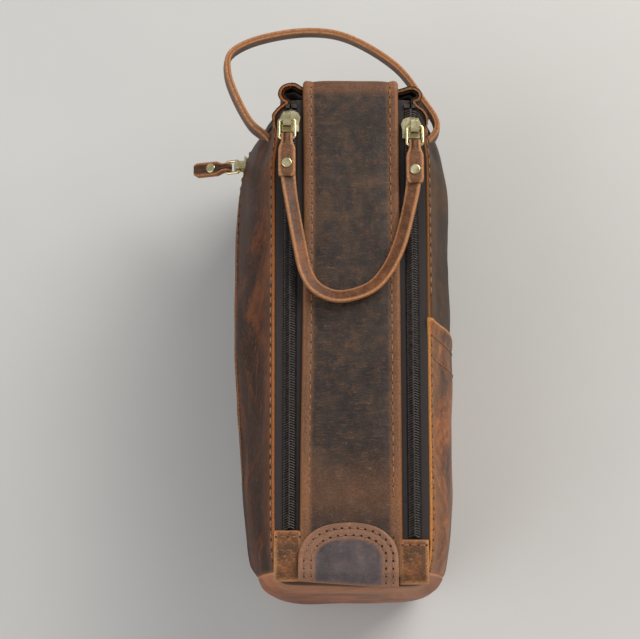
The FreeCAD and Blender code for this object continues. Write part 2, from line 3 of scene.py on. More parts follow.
import bpy
import numpy as np
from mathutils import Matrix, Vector


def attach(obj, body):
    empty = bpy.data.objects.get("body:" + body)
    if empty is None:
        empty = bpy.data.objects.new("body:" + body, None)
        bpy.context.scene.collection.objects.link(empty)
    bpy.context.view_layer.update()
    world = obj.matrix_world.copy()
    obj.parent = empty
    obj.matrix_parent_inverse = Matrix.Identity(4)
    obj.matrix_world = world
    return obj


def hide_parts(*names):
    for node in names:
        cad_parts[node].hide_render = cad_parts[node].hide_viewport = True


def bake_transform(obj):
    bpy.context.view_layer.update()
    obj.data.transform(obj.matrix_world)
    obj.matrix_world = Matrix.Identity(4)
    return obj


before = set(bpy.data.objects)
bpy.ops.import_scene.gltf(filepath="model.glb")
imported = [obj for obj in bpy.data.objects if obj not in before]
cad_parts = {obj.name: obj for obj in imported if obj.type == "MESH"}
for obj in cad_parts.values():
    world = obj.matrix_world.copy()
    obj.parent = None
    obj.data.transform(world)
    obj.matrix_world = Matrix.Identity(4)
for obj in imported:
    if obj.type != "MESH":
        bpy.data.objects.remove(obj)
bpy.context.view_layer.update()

# Every piece below is laid out in millimetres and scaled when its mesh is made.
MM = 0.001
EDGE = 0.7  # a panel's edge is rounded over this share of its thickness
UP = (0, 0, 1.0)

# ---- small geometry helpers ----


def smoothstep(x):
    """0 below 0, 1 above 1, and a smooth rise between."""
    x = np.clip(x, 0.0, 1.0)
    return x * x * (3 - 2 * x)


def unit(v):
    v = np.asarray(v, float)
    return v / np.maximum(np.linalg.norm(v, axis=-1, keepdims=True), 1e-9)


def spline(points, count):
    """A smooth line through points (any number of values each), evenly spaced by its xyz."""
    pts = np.asarray(points, float)
    ext = np.vstack([2 * pts[0] - pts[1], pts, 2 * pts[-1] - pts[-2]])
    out = []
    for i in range(len(pts) - 1):
        p0, p1, p2, p3 = ext[i : i + 4]
        for t in np.linspace(0, 1, 24, endpoint=False):
            bend = (2 * p0 - 5 * p1 + 4 * p2 - p3) * t * t
            twist = (3 * p1 - p0 - 3 * p2 + p3) * t**3
            out.append(0.5 * (2 * p1 + (p2 - p0) * t + bend + twist))
    out.append(pts[-1])
    return evenly(np.array(out), count)


def evenly(line, count):
    """The same line with count points, evenly spaced by its xyz."""
    along = np.r_[0, np.cumsum(np.linalg.norm(np.diff(line[:, :3], axis=0), axis=1))]
    want = np.linspace(0, along[-1], count)
    return np.stack([np.interp(want, along, line[:, k]) for k in range(line.shape[1])], axis=1)


def grid_faces(rows, cols, start=0, wrap=False, flip=False):
    """Four-sided faces for a grid of points numbered from start; wrap joins its two sides."""
    faces = []
    for i in range(rows - 1):
        for j in range(cols if wrap else cols - 1):
            k = (j + 1) % cols
            a, b = start + i * cols + j, start + i * cols + k
            c, d = start + (i + 1) * cols + k, start + (i + 1) * cols + j
            faces.append((d, c, b, a) if flip else (a, b, c, d))
    return faces


def make(name, verts, faces, look, body, slot, nodes=(), flat=None, wear=None, tone=None):
    """A finished piece from points in millimetres.

    flat is where each point lies on the unrolled leather, wear how rubbed it is, and the last how
    much painted shade darkens it; the materials read all three.
    """
    verts = np.asarray(verts, float)
    mesh = bpy.data.meshes.new(name)
    mesh.from_pydata([tuple(v) for v in verts * MM], [], [tuple(map(int, f)) for f in faces])
    mesh.validate()
    count = len(mesh.vertices)
    flat = verts if flat is None else np.asarray(flat, float)
    mesh.attributes.new("flat", "FLOAT_VECTOR", "POINT").data.foreach_set(
        "vector", flat.astype(np.float32).ravel()
    )
    # wear is rubbed leather; the other value is painted shade, which darkens the colour
    for label, values in (("wear", wear), ("tone", tone)):
        values = np.zeros(count) if values is None else np.asarray(values, float)
        mesh.attributes.new(label, "FLOAT", "POINT").data.foreach_set(
            "value", values.astype(np.float32)
        )
    mesh.shade_smooth()
    for one in look if isinstance(look, list) else [look]:
        mesh.materials.append(one)
    obj = bpy.data.objects.new(name, mesh)
    bpy.context.scene.collection.objects.link(obj)
    if isinstance(body, str):
        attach(obj, body)
    else:
        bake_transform(obj)
    if nodes:
        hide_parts(*nodes)
    return obj


def tube_faces(rows, cols):
    """Faces of a tube: rows rings of cols points each, with a cap on each end."""
    faces = grid_faces(rows, cols, wrap=True)
    faces.append(tuple(range(cols))[::-1])
    faces.append(tuple(range((rows - 1) * cols, rows * cols)))
    return faces


def surface_normals(grid):
    du = np.gradient(grid, axis=0)
    dv = np.gradient(grid, axis=1)
    return unit(np.cross(dv, du))


def edge_rows(grid, thick):
    """Adds a row close to each edge of a grid, so that the edge can be rounded tightly."""
    reach = EDGE * thick
    for axis in (0, 1):
        g = grid.swapaxes(0, axis)
        for order in (1, -1):
            g = g[::order]
            step = np.linalg.norm(g[1] - g[0], axis=-1).mean()
            if step > 1.6 * reach:
                extra = g[0] + (g[1] - g[0]) * min(0.5, reach / step)
                g = np.concatenate([g[:1], extra[None], g[1:]])
            g = g[::order]
        grid = g.swapaxes(0, axis)
    return grid


def lengths(grid):
    """For every point of a grid: its distance along the rows and along the columns."""
    u = np.linalg.norm(np.diff(grid, axis=0), axis=-1)
    v = np.linalg.norm(np.diff(grid, axis=1), axis=-1)
    u = np.concatenate([np.zeros((1, grid.shape[1])), np.cumsum(u, axis=0)])
    v = np.concatenate([np.zeros((grid.shape[0], 1)), np.cumsum(v, axis=1)], axis=1)
    return u, v


def sheet_mesh(grid, thick, out=1, wear_reach=1.6, wear_fn=None, tone_fn=None, worn=(1, 1, 1, 1)):
    """A leather panel with rounded edges: grid is its outer face, and out is +1 or -1.

    worn says how rubbed the first row, last row, first column and last column are.
    Returns points, faces and the flat, wear and painted shade values.
    """
    grid = edge_rows(np.asarray(grid, float), thick)
    n, m = grid.shape[:2]
    normal = surface_normals(grid) * out
    u, v = lengths(grid)
    u_left, v_left = u[-1:] - u, v[:, -1:] - v
    near = np.minimum(np.minimum(u, u_left), np.minimum(v, v_left))
    soft = [1 - np.clip(d / wear_reach, 0, 1) for d in (u, u_left, v, v_left)]
    wear = np.max([s * w for s, w in zip(soft, worn)], axis=0)
    if wear_fn is not None:
        wear = np.clip(wear + wear_fn(grid, u, v), 0, 1)
    # painted shade, from the given function
    tone = np.zeros((n, m)) if tone_fn is None else np.clip(tone_fn(grid, u, v), 0, 1)
    drop = 0.3 * thick * (1 - np.clip(near / (EDGE * thick), 0, 1)) ** 2
    top = grid - normal * drop[..., None]
    under = grid - normal * (thick - drop)[..., None]
    flat_top = np.stack([u, v, np.zeros_like(u)], axis=-1)
    border = (
        [(0, j) for j in range(m)]
        + [(i, m - 1) for i in range(1, n)]
        + [(n - 1, j) for j in range(m - 2, -1, -1)]
        + [(i, 0) for i in range(n - 2, 0, -1)]
    )
    side = []
    for i, j in border:
        here = grid[i, j]
        inner = grid[min(max(i, 1), n - 2), min(max(j, 1), m - 2)]
        outward = unit(here - inner)
        side.append(here - normal[i, j] * thick * 0.5 + outward * thick * 0.18)
    count = n * m
    verts = np.vstack([top.reshape(-1, 3), under.reshape(-1, 3), np.array(side)])
    faces = grid_faces(n, m, 0, flip=out < 0) + grid_faces(n, m, count, flip=out > 0)
    loop = [i * m + j for i, j in border]
    for k in range(len(loop)):
        a, b = loop[k], loop[(k + 1) % len(loop)]
        c, d = 2 * count + k, 2 * count + (k + 1) % len(loop)
        upper = (b, a, c, d)
        lower = (d, c, count + a, count + b)
        faces += [upper, lower] if out > 0 else [upper[::-1], lower[::-1]]
    spread, wear, tone = flat_top.reshape(-1, 3), wear.ravel(), tone.ravel()
    flat = np.vstack([spread, spread + (0, 0, 9), spread[loop]])
    wear = np.r_[wear, wear * 0.3, wear[loop]]
    # painted shade: the under face is painted fully shaded, and the sides take the top's painted shade at the
    # border
    tone = np.r_[tone, np.ones(count), tone[loop]]
    return verts, faces, flat, wear, tone


def panel(name, grid, thick, look, body, slot, nodes=(), **options):
    """A finished piece from a grid: a sheet of the given thickness."""
    verts, faces, flat, wear, tone = sheet_mesh(grid, thick, **options)
    return make(name, verts, faces, look, body, slot, nodes, flat, wear, tone)


def strap_mesh(path, side, width, thick, seam):
    """A two-layer strap along path; side is the direction of its width at each point.

    seam is how deep the line between its layers is.
    """
    path = np.asarray(path, float)
    width = np.broadcast_to(np.asarray(width, float), (len(path),))
    along = unit(np.gradient(path, axis=0))
    side = unit(side - along * np.sum(side * along, axis=1, keepdims=True))
    face = np.cross(side, along)
    h = thick / 2
    # Half the outline, from the middle of one face round its edge: share of the half width,
    # distance in from the edge, height over the middle, and how worn the point is.
    half = [
        (0.0, 0.0, h, 0.0),
        (0.55, 0.0, h * 1.02, 0.0),
        (1.0, 1.5, h, 0.15),
        (1.0, 0.75, h * 0.98, 0.7),
        (1.0, 0.22, h * 0.8, 1.0),
        (1.0, 0.0, h * 0.4, 1.0),
        (1.0, seam * 2, 0.0, 0.45),
    ]
    ring = half + [(s, i, -z, w) for s, i, z, w in half[-2::-1]]
    ring += [(-s, i, z, w) for s, i, z, w in ring[-2:0:-1]]
    verts, flat, wear = [], [], []
    dist = np.r_[0, np.cumsum(np.linalg.norm(np.diff(path, axis=0), axis=1))]
    for k in range(len(path)):
        for s, inset, z, w in ring:
            reach = width[k] / 2 - inset if abs(s) == 1.0 else width[k] / 2
            across = s * reach
            verts.append(path[k] + side[k] * across + face[k] * z)
            flat.append((dist[k], across + (40 if z < 0 else 0), 0))
            wear.append(w)
    return verts, tube_faces(len(path), len(ring)), flat, wear


def tube_mesh(path, radius, sides=6):
    path = np.asarray(path, float)
    radius = np.broadcast_to(np.asarray(radius, float), (len(path),))
    along = unit(np.gradient(path, axis=0))
    guide = np.array(UP)
    if abs(along[0] @ guide) > 0.8:
        guide = np.array([1.0, 0.0, 0.0])
    verts = []
    for k in range(len(path)):
        guide = unit(guide - along[k] * (guide @ along[k]))
        other = np.cross(along[k], guide)
        for j in range(sides):
            turn = 2 * math.pi * j / sides
            verts.append(path[k] + radius[k] * (math.cos(turn) * guide + math.sin(turn) * other))
    return verts, tube_faces(len(path), sides)


def joined(parts):
    """Several (points, faces) pairs as one."""
    verts, faces = [], []
    for v, f in parts:
        base = len(verts)
        verts += list(v)
        faces += [tuple(base + i for i in face) for face in f]
    return verts, faces


def needle_hole_shade_disc(at, up, along, sides=8):
    """A small dark disc on the leather, painted shade for a needle hole, as (points, faces)."""
    other = np.cross(up, along)
    verts = [at + up * 0.10]
    for j in range(sides):
        turn = 2 * math.pi * j / sides
        verts.append(at + (along * math.cos(turn) + other * math.sin(turn)) * 0.62 - up * 0.04)
    faces = [(0, 1 + j, 1 + (j + 1) % sides) for j in range(sides)]
    return verts, faces + [tuple(range(1, sides + 1))[::-1]]


def stitches(name, line, normals, body, pitch=5.0, thread=3.7, radius=0.36):
    """A row of stitches along a line on the leather, each going down into a hole, painted as a dark disc of
    shade.
    """
    line = np.asarray(line, float)
    normals = np.broadcast_to(np.asarray(normals, float), line.shape)
    total = np.linalg.norm(np.diff(line, axis=0), axis=1).sum()
    count = max(2, int(total / pitch))
    half = 6  # fine points in half a pitch
    fine = evenly(np.hstack([line, normals]), count * 2 * half + 1)
    last = len(fine) - 1
    reach = max(1, int(round(half * thread / (total / count))))
    rise = np.array([-0.35, 0.12, 0.18, 0.12, -0.35])[:, None]
    thickness = [radius * 0.8, radius, radius * 1.05, radius, radius * 0.8]
    parts, which = [], []
    for k in range(count):
        picks = (2 * k + 1) * half + np.array([-reach, -(reach // 2), 0, reach // 2, reach])
        parts.append(tube_mesh(fine[picks, :3] + unit(fine[picks, 3:]) * rise, thickness))
        which += [0] * len(parts[-1][1])
    for i in range(0, last + 1, 2 * half):
        along = unit(fine[min(i + 1, last), :3] - fine[max(i - 1, 0), :3])
        parts.append(needle_hole_shade_disc(fine[i, :3], unit(fine[i, 3:]), along))
        which += [1] * len(parts[-1][1])
    obj = make(name, *joined(parts), [THREAD, HOLE_SHADE], body, "edge_leather")
    obj.data.polygons.foreach_set("material_index", which)
    return obj


# ---- materials ----


class Nodes:
    """Short calls for building one material's nodes."""

    def __init__(self, name):
        self.mat = bpy.data.materials.new(name)
        self.mat.use_nodes = True
        self.tree = self.mat.node_tree
        self.shader = self.tree.nodes["Principled BSDF"]

    def add(self, kind, out, links=(), **values):
        node = self.tree.nodes.new(kind)
        for key, value in values.items():
            setattr(node, key, value)
        for socket, source in links:
            if isinstance(source, (int, float, tuple)):
                node.inputs[socket].default_value = source
            else:
                self.tree.links.new(source, node.inputs[socket])
        return node.outputs[out]

    def attribute(self, name, out):
        return self.add("ShaderNodeAttribute", out, attribute_name=name)

    def scaled(self, vector, scale):
        return self.add("ShaderNodeMapping", "Vector", [("Vector", vector), ("Scale", scale)])

    def noise(self, vector, scale, detail=3.0, rough=0.55, warp=0.0):
        links = [("Vector", vector), ("Scale", scale), ("Detail", detail), ("Roughness", rough)]
        return self.add("ShaderNodeTexNoise", "Fac", links + [("Distortion", warp)])

    def cells(self, vector, scale):
        return self.add("ShaderNodeTexVoronoi", "Distance", [("Vector", vector), ("Scale", scale)])

    def math(self, operation, a, b=0.0, clamp=False):
        node = self.tree.nodes.new("ShaderNodeMath")
        node.operation, node.use_clamp = operation, clamp
        for i, source in enumerate((a, b)):
            if isinstance(source, (int, float)):
                node.inputs[i].default_value = source
            else:
                self.tree.links.new(source, node.inputs[i])
        return node.outputs[0]

    def span(self, value, low, high, to_low=0.0, to_high=1.0):
        links = [("Value", value), ("From Min", low), ("From Max", high)]
        links += [("To Min", to_low), ("To Max", to_high)]
        return self.add("ShaderNodeMapRange", "Result", links)

    def ramp(self, value, stops):
        node = self.tree.nodes.new("ShaderNodeValToRGB")
        marks = node.color_ramp.elements
        while len(marks) < len(stops):
            marks.new(0.5)
        for mark, (at, colour) in zip(marks, stops):
            mark.position = at
            mark.color = (*colour, 1.0)
        self.tree.links.new(value, node.inputs[0])
        return node.outputs["Color"]

    def mix(self, share, a, b):
        node = self.tree.nodes.new("ShaderNodeMix")
        node.data_type = "RGBA"
        for i, source in ((0, share), (6, a), (7, b)):
            if isinstance(source, (int, float)):
                node.inputs[i].default_value = source
            elif isinstance(source, tuple):
                node.inputs[i].default_value = (*source, 1.0)
            else:
                self.tree.links.new(source, node.inputs[i])
        return node.outputs[2]

    def finish(self, colour, rough, height=None, depth=0.0001, **constants):
        for socket, source in (("Base Color", colour), ("Roughness", rough)):
            self.tree.links.new(source, self.shader.inputs[socket])
        if height is not None:
            bump = self.add("ShaderNodeBump", "Normal", [("Height", height), ("Distance", depth)])
            self.tree.links.new(bump, self.shader.inputs["Normal"])
        for key, value in constants.items():
            self.shader.inputs[key.replace("_", " ")].default_value = value
        return self.mat


def rgb(r, g, b):
    """A colour given as 0 to 255 screen values, as the shader wants it."""
    return tuple(((v / 255 + 0.055) / 1.055) ** 2.4 if v > 10 else v / 255 / 12.92 for v in (r, g, b))


def leather(name, shades, rough=(0.4, 0.62), crackle=0.4, grain=(1.0, 0.5, 1.0), shift=0.0, shine=0.36):
    """Waxed pull-up leather: cloudy browns, fine pebble, creases that break the wax, rubbed edges, and
    painted shade where the mesh asks for it.

    shades are its dark, middle, light and rubbed colours; grain stretches its creases.
    """
    n = Nodes(name)
    dark, middle, light, worn = (rgb(*shade) for shade in shades)
    flat = n.attribute("flat", "Vector")
    clouds = n.noise(flat, 0.03, 5.0, 0.62, 0.8)
    spots = n.noise(flat, 0.17, 6.0, 0.7)
    fine = n.noise(flat, 1.1, 5.0, 0.65)
    level = n.math("ADD", n.math("MULTIPLY", clouds, 0.62), n.math("MULTIPLY", spots, 0.38))
    level = n.math("ADD", level, shift)
    colour = n.ramp(level, [(0.4, dark), (0.51, middle), (0.62, light)])
    pores = n.cells(flat, 0.95)
    pebble = n.math("SUBTRACT", 1.0, n.math("MULTIPLY", pores, pores))
    folds = n.noise(n.scaled(flat, grain), 0.5, 5.0, 0.62, 1.3)
    fold_line = n.span(n.math("ABSOLUTE", n.math("SUBTRACT", folds, 0.5)), 0.0, 0.03, 1.0, 0.0)
    broken = n.math("MULTIPLY", fold_line, n.span(spots, 0.4, 0.62, 0.2, crackle * 1.6))
    rubbed = n.math("MULTIPLY", n.attribute("wear", "Fac"), n.span(fine, 0.35, 0.6, 0.45, 1.15))
    flecks = n.span(fine, 0.6, 0.8, 0.0, crackle)
    bare = n.math("ADD", n.math("ADD", broken, rubbed), flecks, clamp=True)
    colour = n.mix(bare, colour, worn)
    # painted shade: darkens the colour towards black as far as the mesh's painted shade value says
    shade = n.math("MULTIPLY", n.attribute("tone", "Fac"), 0.85)
    colour = n.mix(shade, colour, (0.004, 0.003, 0.002))
    height = n.math("ADD", n.math("MULTIPLY", pebble, 0.3), n.math("MULTIPLY", fine, 0.55))
    height = n.math("SUBTRACT", height, n.math("MULTIPLY", fold_line, 0.45))
    height = n.math("ADD", height, n.math("MULTIPLY", spots, 1.3))
    gloss = n.math("ADD", n.math("MULTIPLY", spots, 0.5), n.math("MULTIPLY", fine, 0.5))
    roughness = n.span(gloss, 0.35, 0.65, rough[0], rough[1])
    sockets = {"Coat_Weight": 0.04, "Coat_Roughness": 0.35, "Specular_IOR_Level": shine}
    return n.finish(colour, roughness, height, 0.00018, **sockets)


WALL = leather(
    "wall_leather", [(24, 10, 4), (50, 22, 9), (112, 58, 24), (168, 104, 60)],
    crackle=0.42, shift=0.012, shine=0.14,
)
WALL_DARK = leather(
    "far_wall_leather", [(26, 17, 9), (46, 30, 15), (86, 53, 25), (140, 92, 50)], crackle=0.35, shine=0.16
)
WALL_TAN = leather(
    "near_wall_leather", [(44, 22, 9), (108, 56, 20), (172, 98, 38), (208, 138, 74)],
    (0.34, 0.52), 0.55, shine=0.24,
)
ROLL = leather(
    "end_leather", [(104, 50, 20), (152, 82, 38), (186, 110, 58), (212, 144, 90)],
    (0.38, 0.56), 0.25, shine=0.28,
)
STRIP = leather(
    "strip_leather", [(36, 30, 27), (50, 42, 37), (76, 58, 44), (152, 100, 62)],
    (0.34, 0.54), 0.42, (1.5, 0.26, 1.0),
)
TAB = leather(
    "tab_leather", [(70, 62, 64), (90, 80, 82), (112, 98, 96), (166, 116, 84)], (0.36, 0.55), 0.25
)
PATCH = leather(
    "patch_leather", [(48, 28, 16), (112, 62, 30), (162, 98, 52), (204, 144, 92)], (0.42, 0.62), 0.5
)
BROWN = leather(
    "handle_leather", [(36, 18, 9), (72, 38, 20), (116, 66, 36), (196, 134, 86)], (0.4, 0.6), 0.35
)


def woven(name, dark, light, pitch, plain=False):
    """A plain weave, with threads a pitch apart in millimetres.

    plain is for a CAD node's own mesh, which has no flat attribute.
    """
    n = Nodes(name)
    flat = n.attribute("flat", "Vector")
    if plain:
        flat = n.scaled(n.add("ShaderNodeTexCoord", "Object"), (1000.0, 1000.0, 1000.0))
    split = n.tree.nodes.new("ShaderNodeSeparateXYZ")
    n.tree.links.new(flat, split.inputs[0])
    turn = 2 * math.pi / pitch
    over = n.math("SINE", n.math("MULTIPLY", split.outputs["X"], turn))
    under = n.math("SINE", n.math("MULTIPLY", split.outputs["Y"], turn))
    weave = n.math("MULTIPLY", over, under)
    cloud = n.noise(flat, 0.12, 4.0)
    share = n.math("ADD", n.span(weave, -1.0, 1.0, 0.0, 0.6), n.math("MULTIPLY", cloud, 0.5))
    colour = n.ramp(share, [(0.15, rgb(*dark)), (0.85, rgb(*light))])
    roughness = n.span(cloud, 0.3, 0.7, 0.75, 0.93)
    return n.finish(colour, roughness, weave, 0.00012, Sheen_Weight=0.15, Sheen_Roughness=0.5)


TAPE = woven("zip_tape_weave", (30, 25, 24), (60, 51, 48), 0.9)
LINING = woven("lining_weave", (48, 40, 33), (96, 82, 68), 1.2)


def surfaced(name, dark, light, scale, rough, depth, metal=0.0, scratch=None, **constants):
    """Metal, plastic, thread or board: cloudy colour, fine scratches or grain."""
    n = Nodes(name)
    where = n.add("ShaderNodeTexCoord", "Object")
    cloud = n.noise(where, scale, 5.0, 0.6)
    fine = n.noise(where, scale * 9, 4.0, 0.6)
    colour = n.ramp(cloud, [(0.34, rgb(*dark)), (0.66, rgb(*light))])
    if scratch is not None:
        colour = n.mix(n.span(fine, 0.56, 0.72), colour, rgb(*scratch))
    roughness = n.span(cloud, 0.3, 0.7, rough[0], rough[1])
    return n.finish(colour, roughness, fine, depth, Metallic=metal, **constants)


BRASS = surfaced(
    "antique_brass", (204, 190, 140), (240, 230, 188), 220.0, (0.2, 0.34), 6e-6, 1.0, (186, 172, 126)
)
COIL = surfaced(
    "coil_plastic", (32, 26, 23), (66, 55, 48), 500.0, (0.2, 0.34), 2e-5, Specular_IOR_Level=0.6
)
THREAD = surfaced("waxed_thread", (112, 72, 44), (176, 126, 84), 900.0, (0.5, 0.75), 5e-5)
# painted shade: the dark discs of the needle holes
HOLE_SHADE = surfaced("needle_hole_shade_disc", (14, 8, 6), (26, 15, 10), 900.0, (0.7, 0.9), 2e-5)
BOARD = surfaced("stiffener_board", (92, 80, 64), (126, 112, 92), 160.0, (0.75, 0.9), 5e-5)
FLOOR = surfaced("pale_floor", (206, 204, 200), (212, 210, 206), 3.0, (0.8, 0.88), 1e-5)

# ---- walls ----
# Each level: height, reach to the front, back, near and far ends, how square the far and the
# near corners are, and how much the front draws in towards the near end.
LEVELS = np.array(
    [
        (0.0, 47.0, 46.0, 119.0, 114.0, 5.0, 7.0, 0.08),
        (5.0, 52.0, 50.0, 123.5, 118.5, 5.0, 6.6, 0.11),
        (32.0, 59.5, 53.0, 128.5, 122.5, 5.2, 6.6, 0.14),
        (66.0, 61.0, 53.5, 129.5, 124.0, 5.5, 7.0, 0.14),
        (100.0, 54.5, 50.5, 129.5, 123.2, 5.6, 8.0, 0.10),
        (124.0, 44.5, 43.5, 127.8, 122.3, 7.0, 10.0, 0.04),
        (136.8, 39.4, 39.4, 126.2, 121.5, 12.0, 14.0, 0.0),
    ]
)
SMOOTH = spline(np.c_[np.zeros((len(LEVELS), 2)), LEVELS], 400)[:, 2:]


def level_at(z):
    """The other seven values of LEVELS at height z."""
    return [np.interp(z, SMOOTH[:, 0], SMOOTH[:, k]) for k in range(1, 8)]


def corner_aim(a):
    """The direction for place a round the walls, from 0 to 8 anticlockwise.

    0 is the middle of the back, 1 the far back corner, 2 the middle of the far end, 3 the far
    front corner, 4 the middle of the front, 5 the near front corner, 6 the middle of the near
    end and 7 the near back corner.
    """
    a = a % 8
    ring = [(1, 0), (1, 1), (0, 1), (-1, 1), (-1, 0), (-1, -1), (0, -1), (1, -1), (1, 0)]
    k = min(int(a), 7)
    share = a - k
    p, q = np.array(ring[k], float), np.array(ring[k + 1], float)
    return p + (q - p) * share


def wall_point(a, z):
    """A point on the plain walls' outer face, at place a and height z."""
    front, back, near, far, far_power, near_power, taper = level_at(z)
    x, y = corner_aim(a)
    reach_x = back if x >= 0 else front
    reach_y, power = (far, far_power) if y >= 0 else (near, near_power)
    cx, cy = x * reach_x, y * reach_y
    r = (abs(cx / reach_x) ** power + abs(cy / reach_y) ** power) ** (-1 / power)
    px, py = r * cx, r * cy
    if px < 0 and py < 0:
        px *= 1 - taper * abs(py) / near
    return np.array([px, py, z])


def wave(a, b, seed):
    """A gentle unevenness, so that no wall is perfectly smooth."""
    rng = np.random.default_rng(seed)
    total = 0.0
    for size, height in ((26.0, 0.5), (13.0, 0.22), (7.0, 0.1)):
        for _ in range(3):
            turn, start = rng.uniform(0, 2 * math.pi, 2)
            across = a * math.cos(turn) + b * math.sin(turn)
            total = total + height * np.sin(across * 2 * math.pi / size / 3 + start)
    return total


LEATHER = 2.0  # thickness of the walls' leather
WALL_LOW_Z = 2.4  # lower edge of the side panels
ROLL_Z = 132.8  # height where the rim starts to roll in
POCKET_Z = 70.0
SLIT = (-70.0, 109.0)  # near and far ends of the pocket's opening
SLIT_HALF = 6.0  # half its height
# Places round the walls where the panels meet.
NEAR_FRONT, NEAR_BACK, FAR_FRONT, FAR_BACK = 5.01, 6.985, 2.80, 1.20
UNWORN = (0, 0, 0, 0)

# The rim at the far end: the leather bulges out beside the flap's lip and folds in again, an
# ear on each side. Each row: place round the walls, x, y.
EAR_FRONT = [
    (2.0, 0, 121.3), (2.45, -17, 121.3), (2.62, -24.4, 123.8), (2.76, -29.0, 126.2),
    (2.87, -34.0, 124.9), (2.94, -35.8, 121.3), (3.0, -34.4, 118.2), (3.03, -32.2, 116.7),
    (3.05, -34.2, 115.0), (3.075, -37.2, 112.2), (3.12, -39.2, 107.0), (3.3, -39.3, 86.0),
]
EAR_BACK = [
    (2.0, 0, 121.3), (1.55, 17, 121.3), (1.38, 25.0, 122.8), (1.24, 30.5, 124.3),
    (1.13, 34.2, 122.9), (1.06, 35.4, 120.4), (1.0, 34.4, 118.2), (0.97, 32.2, 117.1),
    (0.95, 33.6, 114.8), (0.925, 37.2, 111.8), (0.88, 39.2, 105.5), (0.7, 39.3, 86.0),
]
EARS = {}
for side, knots in (("front", EAR_FRONT), ("back", EAR_BACK)):
    line = spline([(x, y, 0, a) for a, x, y in knots], 300)
    EARS[side] = line[::-1] if side == "back" else line


def wall_at(a, z):
    """A point on the walls, with the ears gathered in near the far end's rim."""
    p = wall_point(a, z)
    share = float(smoothstep((z - 108) / 25))
    place = a % 8
    if share == 0 or not 0.7 < place < 3.3:
        return p
    line = EARS["front" if place >= 2 else "back"]
    q = np.array([np.interp(place, line[:, 3], line[:, k]) for k in (0, 1)])
    fade = float(smoothstep(min(place - 0.7, 3.3 - place) / 0.12))
    p[:2] += (q - p[:2]) * share * fade
    return p


def places(a0, a1, count, crowd=()):
    """Places from a0 to a1, set closer together near each place in crowd."""
    fine = np.linspace(a0, a1, 2000)
    weight = np.ones_like(fine)
    for c in crowd:
        weight += 7 * np.exp(-(((fine - c) / 0.13) ** 2))
    total = np.r_[0, np.cumsum((weight[1:] + weight[:-1]) / 2)]
    return np.interp(np.linspace(0, total[-1], count), total, fine)


def side_grid(a_list, low, rows, seed, roll_in=2.9, roll_up=5.4, roll_rows=9):
    """A wall from its lower edge low(a) to the rim, where it rolls in over the mouth.

    The roll fades out beside the ears, at the far end.
    """
    n = rows + roll_rows
    grid = np.zeros((n, len(a_list), 3))
    for j, a in enumerate(a_list):
        z0 = low(a)
        heights = z0 + (ROLL_Z - z0) * np.linspace(0, 1, rows)
        for i, z in enumerate(heights):
            grid[i, j] = wall_at(a, z)
    top = grid[rows - 1]
    along = unit(np.gradient(top, axis=0))
    inward = np.cross(np.array(UP), along)
    ear = smoothstep((top[:, 1:2] - 98) / 12)
    for i in range(roll_rows):
        turn = math.radians(100) * (i + 1) / roll_rows
        grid[rows + i] = top + inward * (roll_in * (1 - 0.93 * ear)) * (1 - math.cos(turn)) * 0.85
        grid[rows + i, :, 2] = ROLL_Z + roll_up * math.sin(turn)
    return uneven(grid, seed)


def uneven(grid, seed, size=0.8):
    """The grid with a gentle unevenness that fades out at its edges."""
    u, v = lengths(grid)
    normal = surface_normals(grid)
    calm = smoothstep(np.minimum(u, u[-1:] - u) / 12.0)
    calm = calm * smoothstep(np.minimum(v, v[:, -1:] - v) / 8.0)
    return grid + normal * (wave(u, v, seed) * size * calm)[..., None]


def slit_share(a):
    """1 where the pocket's zip opens the front wall, 0 beyond its ends."""
    x, y, _ = wall_point(a, POCKET_Z)
    if x > 0 or a <= 3:
        return 0.0
    return float(smoothstep((y - SLIT[0]) / 3) * smoothstep((SLIT[1] - y) / 6))


def rim_wear(grid, u, v):
    """Rubbed along the rim's edge; below it, lighter towards the top from 118 mm up."""
    edge = u[-1:] - u
    return 0.9 * (1 - smoothstep(edge / 2.2)) + 0.22 * smoothstep((grid[..., 2] - 118) / 16)


def end_seam_painted_shade(grid, u, v):
    """Painted shade where the near end's roll goes in under the tab and the patches."""
    seam_y = -127.0 - 0.035 * (grid[..., 0] + 37.0)  # it slants a little
    # painted shade under the edges of the tab and the patches
    under = smoothstep((grid[..., 1] - seam_y) / 0.9) * smoothstep((grid[..., 2] - 132.0) / 2.0)
    return 0.9 * under * (1 - smoothstep((np.abs(grid[..., 0]) - 36.5) / 1.5))


